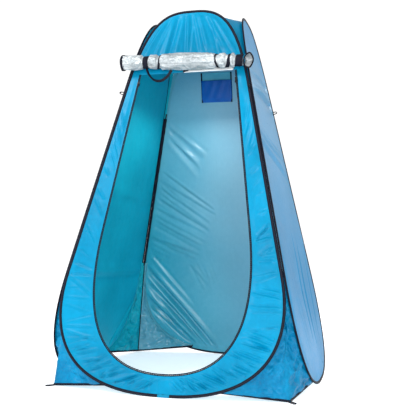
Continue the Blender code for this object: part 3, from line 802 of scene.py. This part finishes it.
def hem(name, side, line):
    """Black tape folded round a gusset's ground edge."""
    line = resampled(line, 40)
    run = unit(np.gradient(line, axis=0))
    out = np.stack([run[:, 1], -run[:, 0], np.zeros(40)], axis=1)
    half = ((0.0022, 0.0), (0.0022, 0.006), (0.0016, 0.0105))
    section = half + tuple((-a, b) for a, b in half[::-1])
    rings = [line + out * a + np.array([0, 0, b]) for a, b in section]
    grid = np.stack(rings, axis=1)
    grid[..., 2] = np.maximum(grid[..., 2], 0.0002)
    obj = piece(f"gusset_hem_{name}_{side}", [(grid, uv_of(grid))], [BINDING], closed=(False, True))
    if CORNERS[name][4]:
        blend_corner(obj)
    else:
        flatten_onto(obj, side)


ROOF_START = 1.45  # just below the top of the corner seams
ROOF_COLUMNS = 14
ROOF_CRUMPLE = (7.0, 0.004)
ROOF_SAG = 0.004


def roof(side):
    """A quarter of the roof: lines from the hoop's top arc to the roof's diagonals, then a flat middle."""
    hug = grown(WIRE, -GUSSET_HIDDEN)
    hug = hug[(hug[:, 0] >= 0) & (hug[:, 1] >= ROOF_START * SLANT)]
    arc = resampled(hug[np.argsort(hug[:, 1] - 0.4 * hug[:, 0])], 46)
    arc[-1, 0] = 0
    inner = np.full(len(arc), -SLEEVE_DEEP)
    points = moved(np.stack([arc[:, 0], arc[:, 1], inner], axis=1), wall_matrix("front"))
    middle = (points[:, 0] - points[:, 1]) / 2
    diagonal = np.stack([middle, -middle, points[:, 2]], axis=1)
    t = np.linspace(0, 1, ROOF_COLUMNS)[None, :, None]
    web = lerp(points[:, None], diagonal[:, None], t)
    centre = np.array([0, 0, points[-1, 2]])
    cap = lerp(web[-1][None], centre[None, None], np.linspace(0, 1, 12)[:, None, None])
    half = np.concatenate([web, cap[1:]])
    rise = crumple(half, *ROOF_CRUMPLE, 2.0 + SIDES[side])
    steps = np.arange(len(half))
    fade = smooth(np.linspace(0, 1, ROOF_COLUMNS) * 2.2)[None] * smooth(steps / 9)[:, None]
    fade = fade * smooth(np.minimum(steps, steps[::-1]) / 9)[:, None]
    sag = np.zeros(half.shape)
    sag[..., 2] = rise * fade - ROOF_SAG * smooth(steps / 50)[:, None]
    sag[:, 0] = 0
    half = half + sag
    other = half * np.array([-1, 1, 1])
    turn = Matrix.Rotation(SIDES[side] * math.pi / 2, 4, "Z")
    grids = [(moved(half, turn), uv_of(half)), (moved(other[:, ::-1], turn), uv_of(other))]
    inner = INNER_PAINTED_REFLECTION if side == "back" else INNER_TEAL
    obj = applied(piece(side + "_roof_cloth", grids, [OUTER, inner], CLOTH))
    flatten_onto(obj, side)
    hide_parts(side + "_roof_gore")


# ---------------------------------------------------------------- the doorway, the roll and what hangs on it


COIL_IN = 0.0033  # from the doorway's edge to the coil's middle
COIL_RADIUS = 0.0027
COIL_TOOTH = 0.0090


def door_zip():
    """The zip round the doorway: the coil on the edge and a narrow tape beside it, outside the sheet."""
    rim = grown(door_path(1800), -COIL_IN, closed=False)
    angle = np.linspace(0, 2 * math.pi, 9)[:-1]
    section = np.stack([np.cos(angle), np.sin(angle)], axis=1) * COIL_RADIUS
    grid = swept(rim, section, False)
    run = distances(rim)
    tooth = 1 + 0.14 * np.sin(run * 2 * math.pi / COIL_TOOTH)[:, None, None]
    flat = np.concatenate([rim, np.zeros((len(rim), 1))], axis=1)[:, None]
    grid = flat + (grid - flat) * tooth
    lengths = np.stack(np.broadcast_arrays(run[:, None], np.arange(8)[None] * 0.002), axis=-1)
    grids = [(moved(grid, wall_matrix("front")), lengths)]
    placed(piece("door_zip_coil", grids, [COIL], closed=(False, True)), "front", "zip_edge", "door_zip_edge")
    tape = door_path(520)
    section = ((0.0, 0.0009), (0.0025, 0.0012), (0.0042, 0.0011), (0.0046, 0.0006), (0.0, 0.0005))
    grid = swept(tape, section, False)
    depth = np.array([a for a, _ in section])
    lengths = np.stack(np.broadcast_arrays(distances(tape)[:, None], depth[None]), axis=-1)
    grids = [(moved(grid, wall_matrix("front")), lengths)]
    placed(piece("door_zip_tape", grids, [BINDING], closed=(False, True)), "front", "black_binding")


ROLL_ALONG = -Vector(JOINTS["roll_swing"]["axis"])
roll_points = points_of("door_roll")


def roll_matrix():
    """The roll's frame: along it, up the wall and out. Its origin is on the roll's axis, at x = 0."""
    out = wall_matrix("front").to_3x3() @ Vector((0, 0, 1))
    up = out.cross(ROLL_ALONG).normalized()
    middle = Vector(np.mean(roll_points, axis=0))
    local = Matrix((ROLL_ALONG, up, out)).transposed().to_4x4()
    base = Matrix.Translation(middle) @ local
    radial = moved(roll_points, base.inverted())
    shift = [(radial[:, k].min() + radial[:, k].max()) / 2 for k in (1, 2)]
    across = -(base @ Vector((0, *shift))).x / ROLL_ALONG.x
    return base @ Matrix.Translation((across, *shift))


ROLL = roll_matrix()


def roll_profile():
    """Stations along the roll and its radius at each, read from the CAD roll."""
    local = moved(roll_points, ROLL.inverted())
    radius = np.hypot(local[:, 1], local[:, 2])
    keep = radius > 0.01
    pairs = np.unique(np.round(np.stack([local[keep, 0], radius[keep]], axis=1), 4), axis=0)
    return pairs[:, 0], pairs[:, 1]


def ring_of(node):
    """A ring round the roll, read from its CAD node: its start, end and outer radius."""
    local = moved(points_of(node), ROLL.inverted())
    return local[:, 0].min(), local[:, 0].max(), np.hypot(local[:, 1], local[:, 2]).max()


def roll_crinkle(along, angle):
    """Creases in the rolled cloth: they run mostly along the roll and slant a little."""
    flat = np.stack(np.broadcast_arrays(
        along * 9, 1.9 * np.cos(angle + along * 2.5), 1.9 * np.sin(angle + along * 2.5)), axis=-1)
    fine = np.stack(np.broadcast_arrays(along * 30, 4 * np.cos(angle), 4 * np.sin(angle)), axis=-1)
    return crumple(flat, 1.0, 0.0040, 1.7) + crumple(fine, 1.0, 0.0018, 4.4)


ROLL_TURNS = 11
HIDDEN_TURNS = 9.6  # the inner turns have wider steps between their points
ROLL_HEART = 0.16  # the spiral's first radius, as a share of its last
ROLL_EDGE = 2.2  # the angle that turns the cloth's edge to its place
BAND_FADE = 0.012


def rolled_door():
    """The door's cloth wound into a spiral, held tight under each band and bulging between them."""
    stations, radii = roll_profile()
    along = np.linspace(stations[0], stations[-1], 170)
    inside, outside = np.linspace(0, HIDDEN_TURNS, 170), np.linspace(HIDDEN_TURNS, ROLL_TURNS, 110)
    angle = 2 * math.pi * np.concatenate([inside[:-1], outside])
    radius = np.interp(along, stations, radii) - 0.0015
    share = lerp(ROLL_HEART, 1.0, angle / angle[-1])
    crinkle = roll_crinkle(along[:, None], angle[None])
    tight = np.ones(len(along))
    for band in BANDS:
        start, end, _ = ring_of(band)
        tight *= smooth((np.abs(along - (start + end) / 2) - (end - start) / 2) / BAND_FADE)
    reach = radius[:, None] * share[None] + crinkle * tight[:, None] * share[None] ** 2
    at_ends = smooth(np.abs(along) * 9 - 2) * np.sign(along)
    ends = 0.004 * np.sin(angle * 0.37 + 0.5)[None] * at_ends[:, None]
    spin = angle[None] + ROLL_EDGE
    grid = np.stack([along[:, None] + ends, reach * np.cos(spin), reach * np.sin(spin)], axis=-1)
    obj = piece("rolled_door_cloth", [(moved(grid, ROLL), uv_of(grid))], [SILVER, OUTER], 0.0005)
    placed(obj, "door_roll", "silver_coated_polyester", "door_roll")


BANDS = ("tie_band_left_broad", "tie_band_left_narrow", "tie_band_right_narrow", "tie_band_right_medium",
         "tie_band_right_broad")
BAND_SLANT = {"tie_band_left_broad": 0.003, "tie_band_left_narrow": 0.010, "tie_band_right_narrow": -0.009,
              "tie_band_right_medium": 0.011, "tie_band_right_broad": 0.006}


def hoop_of_tape(name, start, end, radius, slant, node):
    """A flat tape round the roll. It leans along the roll by the slant and is a little uneven."""
    angle = np.linspace(0, 2 * math.pi, 97)[:-1]
    width = end - start
    section = ((-0.5, 0.0), (-0.47, 0.0012), (0.0, 0.0015), (0.47, 0.0012), (0.5, 0.0), (0.0, -0.0006))
    shift = slant * np.cos(angle - 1.2) + 0.0012 * np.sin(3 * angle)
    uneven = radius + 0.0006 * np.sin(2 * angle + width * 90)
    rings = [np.stack([(start + end) / 2 + share * width + shift, (uneven + out) * np.cos(angle),
                       (uneven + out) * np.sin(angle)], axis=1) for share, out in section]
    grid = np.stack(rings, axis=1)
    obj = piece(name, [(moved(grid, ROLL), uv_of(grid))], [WEBBING], closed=(True, True))
    placed(obj, "door_roll", "black_binding", node)


def bands():
    for band in BANDS:
        start, end, radius = ring_of(band)
        hoop_of_tape(band + "_webbing", start, end, radius - 0.0017, BAND_SLANT[band], band)
    start, end, radius = ring_of("roll_end_binding")
    hoop_of_tape("roll_end_tape", start - 0.001, end + 0.002, radius + 0.001, 0.0015, "roll_end_binding")


def end_flap():
    """The free end of the rolled cloth: a cuff that flares open, with one silver face and a black edge."""
    start, end, radius = ring_of("roll_end_flap")
    angle = np.linspace(0, 2 * math.pi, 81)
    share = np.linspace(0, 1, 16)[:, None]
    spread = lerp(0.026, radius - 0.002, smooth(share) ** 0.8)
    far_side = 0.5 + 0.5 * np.cos(angle + 0.9)[None]
    uneven = 1 + share * (0.08 * np.cos(2 * angle - 1.1) + 0.035 * np.sin(5 * angle))[None] - 0.08 * share
    along = lerp(start, end - 0.004, share * (0.12 + 0.88 * far_side))
    grid = np.stack([along, spread * uneven * np.cos(angle), spread * uneven * np.sin(angle)], axis=-1)
    obj = piece("roll_end_cuff", [(moved(grid, ROLL), uv_of(grid))], [OUTER, SILVER], 0.0006)
    placed(obj, "door_roll", "silver_coated_polyester", "roll_end_flap")
    tube("roll_end_cuff_binding", moved(grid[-1][:-1], ROLL), 0.0038, WEBBING, "door_roll", True)


def tube(name, path, radius, look, body=None, closed=False):
    """A round black bead along a path in the row frame. Without a body, the caller says what it follows."""
    run = np.roll(path, -1, 0) - np.roll(path, 1, 0) if closed else np.gradient(path, axis=0)
    run = unit(run)
    first = unit(np.cross(run, np.array([0.31, 0.52, 0.79])))
    second = np.cross(run, first)
    angle = np.linspace(0, 2 * math.pi, 9)[:-1]
    grid = np.stack([path + radius * (math.cos(a) * first + math.sin(a) * second) for a in angle], axis=1)
    obj = piece(name, [(grid, uv_of(grid))], [look], closed=(closed, True))
    if body:
        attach(obj, body)
    return obj


def depth_at(local, height):
    """How far out the points near a height are, on average."""
    near = local[np.abs(local[:, 1] - height) < 0.004]
    return float(near[:, 2].mean())


STRAP_WIDTH = 0.016
STRAP_ACROSS = (0.0, 0.05, 0.17, 0.33, 0.5, 0.66, 0.82, 0.95, 1.0)
STRAP_DOWN = (-0.05, 0.22, 0.6, 0.88, 0.985, 0.93, 0.7, 0.32, 0.12)


def strap():
    """The webbing loop under the roll: edge-on at the left, twisting flat towards its right end."""
    local = moved(points_of("hanging_strap"), ROLL.inverted())
    low, high = local.min(axis=0), local.max(axis=0)
    across = [lerp(low[0], high[0], t) for t in STRAP_ACROSS]
    up = [lerp(high[1], low[1], t) for t in STRAP_DOWN]
    top, foot = high[1], low[1]
    out = [lerp(depth_at(local, top), depth_at(local, foot), (top - b) / (top - foot)) for b in up]
    path = resampled(np.stack([across, up, out], axis=1), 90)
    run = unit(np.gradient(path, axis=0))
    face = unit(np.array([0.0, 0.0, 1.0])[None] - run * run[:, 2:])
    flat = np.cross(run, face)
    twist = lerp(1.0, 0.1, smooth((np.linspace(0, 1, 90) - 0.25) / 0.4))[:, None]
    width = np.cos(twist) * flat + np.sin(twist) * face
    t = np.linspace(-0.5, 0.5, 7)[None, :, None]
    grid = path[:, None] + width[:, None] * t * STRAP_WIDTH
    obj = piece("hanging_strap_webbing", [(moved(grid, ROLL), uv_of(grid))], [WEBBING], 0.0014)
    placed(obj, "hanging_strap", "black_webbing", "hanging_strap")


def header_lip():
    """The pale strip under the roll and the dark patch at its end."""
    local = in_wall("door_header_lip", "front")
    low, high = local.min(axis=0), local.max(axis=0)
    foot = DOOR_TOP - 0.004
    u, v = patch_grid(low[0], high[0], foot, high[1], 60, 8)
    out = 0.0030 + 0.004 * (1 - (v - foot) / (high[1] - foot)) + 0.0006 * np.sin(u * 70)
    obj = piece("door_header_strip", [raised(u, v, out, "front")], [LIP], 0.0008)
    placed(obj, "front", "silver_coated_polyester", "door_header_lip")
    u, v = patch_grid(low[0] - 0.004, low[0] + 0.024, foot + 0.001, high[1] - 0.004, 12, 8)
    v = v + 0.006 * (u - low[0]) / 0.028
    patch = piece("header_patch", [raised(u, v, np.full(u.shape, 0.0090), "front")], [WEBBING], 0.0012)
    placed(patch, "front", "black_webbing")


def pocket():
    """The pocket on the inside of the back wall: pale back, full navy front and dark side tapes."""
    cloth = in_wall("storage_pocket", "back")
    tape = in_wall("pocket_side_left", "back")
    left, right = cloth[:, 0].min(), cloth[:, 0].max()
    low, band, high = cloth[:, 1].min(), cloth[:, 1].max(), tape[:, 1].max()
    deep = cloth[:, 2].min()
    u, v = patch_grid(left + 0.002, right - 0.002, low, high, 56, 44)
    out = -0.0018 - 0.0004 * np.sin(u * 60)
    obj = piece("pocket_back_cloth", [raised(u, v, out, "back")], [POCKET_BACK], CLOTH)
    placed(obj, "back", "navy_polyester")
    u, v = patch_grid(left + 0.002, right - 0.002, low + 0.001, band, 56, 44)
    across = (u - left) / (right - left)
    fill = np.sin(math.pi * across) ** 0.5 * smooth((v - low) / 0.03)
    out = lerp(-0.003, deep + 0.001, fill) + 0.0009 * np.sin(u * 120 + v * 50) * fill
    obj = piece("pocket_front_cloth", [raised(u, v, out, "back")], [NAVY], CLOTH)
    placed(obj, "back", "navy_polyester", "storage_pocket")
    for name in ("left", "right"):
        node = in_wall(f"pocket_side_{name}", "back")
        start, end = node[:, 0].min(), node[:, 0].max()
        u, v = patch_grid(start, end, low, high, 8, 40)
        out = -0.0034 - 0.0012 * np.cos((u - (start + end) / 2) / (end - start) * math.pi)
        obj = piece(f"pocket_side_tape_{name}", [raised(u, v, out, "back")], [BINDING], 0.001)
        placed(obj, "back", "black_binding", f"pocket_side_{name}")


# ---------------------------------------------------------------- loops and metal


def ribbon(name, path, width_along, width, thickness):
    """Webbing along a path, with its width in one direction."""
    t = np.linspace(-0.5, 0.5, 6)[None, :, None]
    grid = path[:, None] + np.asarray(width_along)[None, None] * t * width
    return piece(name, [(grid, uv_of(grid))], [WEBBING], thickness)


def peg_loop(name):
    """Webbing that leaves the gusset's corner, runs round the peg's hole and back, lying on the ground."""
    points = points_of("peg_loop_" + name)
    sign = np.sign(points.mean(axis=0))
    out = np.array([sign[0], sign[1], 0]) / math.sqrt(2)
    aside = np.array([-out[1], out[0], 0])
    start = (points @ out).min()
    length = (points @ out).max() - start
    half = 0.0085
    tail = [(-0.004, -half * 0.75), (length * 0.45, -half), (length * 0.72, -half),
            (length * 0.93, -half * 0.6), (length - 0.003, 0.0)]
    tail += [(along, -aside) for along, aside in tail[-2::-1]]
    flat = resampled(tail, 60)
    path = out[None] * (start + flat[:, :1]) + aside[None] * flat[:, 1:]
    path[:, 2] = 0.0029
    obj = ribbon(f"peg_loop_{name}_webbing", path, (0, 0, 1), 0.0046, 0.0016)
    if CORNERS[name][4]:
        blend_corner(applied(obj))
    else:
        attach(obj, "right")
    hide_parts("peg_loop_" + name)


def guy_loop(side):
    """A webbing loop on the right edge of a wall's sleeve."""
    local = in_wall(side + "_guy_loop", side)
    low, high = local.min(axis=0), local.max(axis=0)
    middle = (low + high) / 2
    reach, half = high[2] - low[2], (high[1] - low[1]) / 2 - 0.001
    turn = np.linspace(-0.5, 0.5, 7) * math.pi
    loop = [(-half, low[2] - 0.001), (-half, low[2] + reach * 0.35)]
    loop += [(half * math.sin(a), low[2] + reach * 0.35 + reach * 0.58 * math.cos(a)) for a in turn]
    loop += [(half, low[2] + reach * 0.35), (half, low[2] - 0.001)]
    flat = resampled(loop, 48)
    path = np.stack([np.full(48, middle[0]), middle[1] + flat[:, 0], flat[:, 1]], axis=1)
    path = moved(path, wall_matrix(side))
    along = np.array(wall_matrix(side).to_3x3() @ Vector((1, 0, 0)))
    obj = ribbon(side + "_guy_loop_webbing", path, along, 0.009, 0.0032)
    placed(obj, side, "black_webbing", side + "_guy_loop")


SEAM_IN = 0.0085  # the tape that covers a corner seam inside the tent is this far in, along X and along Y


def corner_tape(name):
    """The seam between two sleeves: its thread, and the tape over it inside, which front_left is without."""
    node = points_of("corner_seam_" + name)
    low, high = node[np.argmin(node[:, 2])], node[np.argmax(node[:, 2])]
    path = lerp(low[None], high[None], np.linspace(0, 1, 60)[:, None])
    body = CORNERS[name][0]
    inwards = np.array([-math.copysign(SEAM_IN, low[0]), -math.copysign(SEAM_IN, low[1]), 0.0])
    if name != "front_left":
        tube(f"corner_seam_{name}_tape", path + inwards, 0.0052, BINDING, body)
    obj = tube(f"corner_seam_{name}_thread", path, 0.0013, BINDING, body)
    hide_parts("corner_seam_" + name)


def carried_over():
    """Materials for the CAD nodes that stay in view or lie inside the sleeves."""
    for name, obj in frame["nodes"].items():
        if "wire" in name or "ferrule" in name:
            look = STEEL
        elif name.startswith(("zip_slider", "zip_bail", "zip_pull")):
            look = LACQUER
        else:
            continue
        obj.data.materials.clear()
        obj.data.materials.append(look)


# ---------------------------------------------------------------- the studio


WORLD_LIGHT = 0.74
WORLD_SEEN = 1.1
FLOOR_HALF = 30
FLOOR_GLOW = 0.46


def studio():
    """A white floor, a white world that is seen brighter than it lights, and four lamps."""
    floor_mesh = bpy.data.meshes.new("floor")
    shape = bmesh.new()
    bmesh.ops.create_grid(shape, x_segments=1, y_segments=1, size=FLOOR_HALF)
    shape.to_mesh(floor_mesh)
    shape.free()
    floor = bpy.data.objects.new("floor", floor_mesh)
    bpy.context.scene.collection.objects.link(floor)
    look = Look("floor")
    spot = look.node("ShaderNodeTexCoord").outputs["Object"]
    tone = look.noise(spot, 0.6, 2.0)
    floor_mesh.materials.append(look.finish(
        Base_Color=look.mixed(tone, (0.93, 0.93, 0.93), (0.96, 0.96, 0.96)), Roughness=0.9,
        Emission_Color=(1, 1, 1, 1), Emission_Strength=FLOOR_GLOW))
    world = bpy.data.worlds.new("studio")
    bpy.context.scene.world = world
    world.use_nodes = True
    nodes, links = world.node_tree.nodes, world.node_tree.links
    path = nodes.new("ShaderNodeLightPath").outputs["Is Camera Ray"]
    strength = nodes.new("ShaderNodeMapRange")
    strength.inputs[3].default_value = WORLD_LIGHT
    strength.inputs[4].default_value = WORLD_SEEN
    links.new(path, strength.inputs[0])
    links.new(strength.outputs[0], nodes["Background"].inputs[1])
    nodes["Background"].inputs[0].default_value = (1, 1, 1, 1)
    area_light("key", (-2.4, -3.6, 4.2), (0, -0.2, 0.9), 1.3, 190)
    area_light("fill", (1.2, -4.6, 1.3), (0.0, 0.4, 0.8), 1.4, 95)
    area_light("inside", (0.0, 0.0, 1.45), (0.0, 0.0, 0.0), 0.2, 3.5)
    area_light("behind", (3.0, 3.6, 3.2), (0.0, 0.0, 0.9), 1.6, 110)
    bpy.context.scene.view_settings.view_transform = "Standard"
    bpy.context.scene.view_settings.look = "None"


def area_light(name, place, target, size, power):
    data = bpy.data.lights.new(name, "AREA")
    data.size = size
    data.energy = power
    lamp = bpy.data.objects.new(name, data)
    lamp.visible_camera = False
    lamp.location = place
    lamp.rotation_euler = (Vector(target) - Vector(place)).to_track_quat("-Z", "Y").to_euler()
    bpy.context.scene.collection.objects.link(lamp)


CAMERA_PLACE = (0.9635, -3.5179, 0.6675)
CAMERA_YAW = math.radians(14.92)
CAMERA_PITCH = math.radians(2.85)
CAMERA_ROLL = math.radians(0.81)
LENS = 57.3  # millimetres, on a film 36 wide
FILM = 36
SHIFT = (0.0067, 0.012)


def camera():
    """The fitted camera."""
    data = bpy.data.cameras.new("camera")
    data.sensor_width = FILM
    data.lens = LENS
    data.shift_x, data.shift_y = SHIFT
    cam = bpy.data.objects.new("camera", data)
    turn = (Matrix.Rotation(CAMERA_YAW, 4, "Z") @ Matrix.Rotation(math.pi / 2 + CAMERA_PITCH, 4, "X")
            @ Matrix.Rotation(CAMERA_ROLL, 4, "Z"))
    cam.matrix_world = Matrix.Translation(CAMERA_PLACE) @ turn
    bpy.context.scene.collection.objects.link(cam)
    bpy.context.scene.camera = cam


# ---------------------------------------------------------------- the tent


def walls():
    """The four sheets. Folds are in the wall's own u and v: start, end, width and height."""
    front_sheet()
    back_lines = [((0.54, 0.58), (0.06, 0.03), 0.018, 0.028), ((0.53, 0.48), (0.11, 0.02), 0.013, 0.022),
                  ((0.55, 0.37), (0.18, 0.03), 0.022, 0.028), ((0.50, 0.66), (0.20, 0.30), 0.010, -0.010)]
    back_lines += fan(7, ((0.52, 0.50), (0.58, 0.24)), ((0.28, 0.18), (0.36, 0.06)), 0.006, 0.008, 0.012)
    back_lines += fan(11, ((0.39, 1.20), (0.52, 0.72)), ((0.03, 0.92), (0.18, 0.60)), 0.008, 0.010, 0.012)
    back_lines += fan(14, ((0.41, 1.16), (0.54, 0.64)), ((0.24, 1.00), (0.34, 0.56)), 0.004, 0.006, 0.010)
    back_lines += fan(5, ((0.36, 1.50), (0.40, 1.40)), ((0.06, 1.30), (0.18, 1.12)), 0.012, 0.012, 0.012)
    back_lines += fan(8, ((0.24, 0.58), (0.10, 0.60)), ((0.12, 0.40), (0.06, 0.44)), 0.006, 0.006, 0.012)
    wall_sheet("back", back_lines, [OUTER, INNER_PAINTED_REFLECTION], 0.010,
               masks=[(((-0.10, 1.56), (0.10, 1.77)), 0.08)])
    left_lines = [((-0.53, 0.37), (-0.24, 0.07), 0.010, 0.014), ((-0.53, 0.30), (-0.38, 0.05), 0.008, 0.012),
                  ((-0.52, 0.33), (-0.30, 0.06), 0.005, 0.008), ((-0.62, 0.535), (0.60, 0.56), 0.028, -0.016),
                  ((-0.50, 0.98), (0.45, 1.00), 0.030, -0.006)]
    wall_sheet("left", left_lines, [OUTER_SIDE_PAINTED_REFLECTION, INNER_TEAL], 0.008)
    right_lines = fan(5, ((-0.34, 1.62), (-0.30, 1.50)), ((0.34, 1.66), (0.38, 1.54)), 0.014, 0.008, 0.02)
    right_lines += fan(5, ((-0.44, 1.36), (-0.46, 1.22)), ((0.40, 1.22), (0.44, 1.08)), 0.013, 0.008, 0.02)
    right_lines += fan(5, ((-0.50, 0.80), (0.50, 0.75)), ((-0.35, 0.16), (0.35, 0.14)), 0.016, 0.004, 0.03)
    wall_sheet("right", right_lines, [OUTER_SIDE_PAINTED_REFLECTION, INNER_TEAL], 0.010)


camera()
studio()
walls()
for side in SIDES:
    sleeve(side)
    roof(side)
    guy_loop(side)
for corner in CORNERS:
    gusset(corner)
    corner_tape(corner)
    peg_loop(corner)
sleeve_join()
door_zip()
bands()
rolled_door()
end_flap()
strap()
header_lip()
pocket()
carried_over()
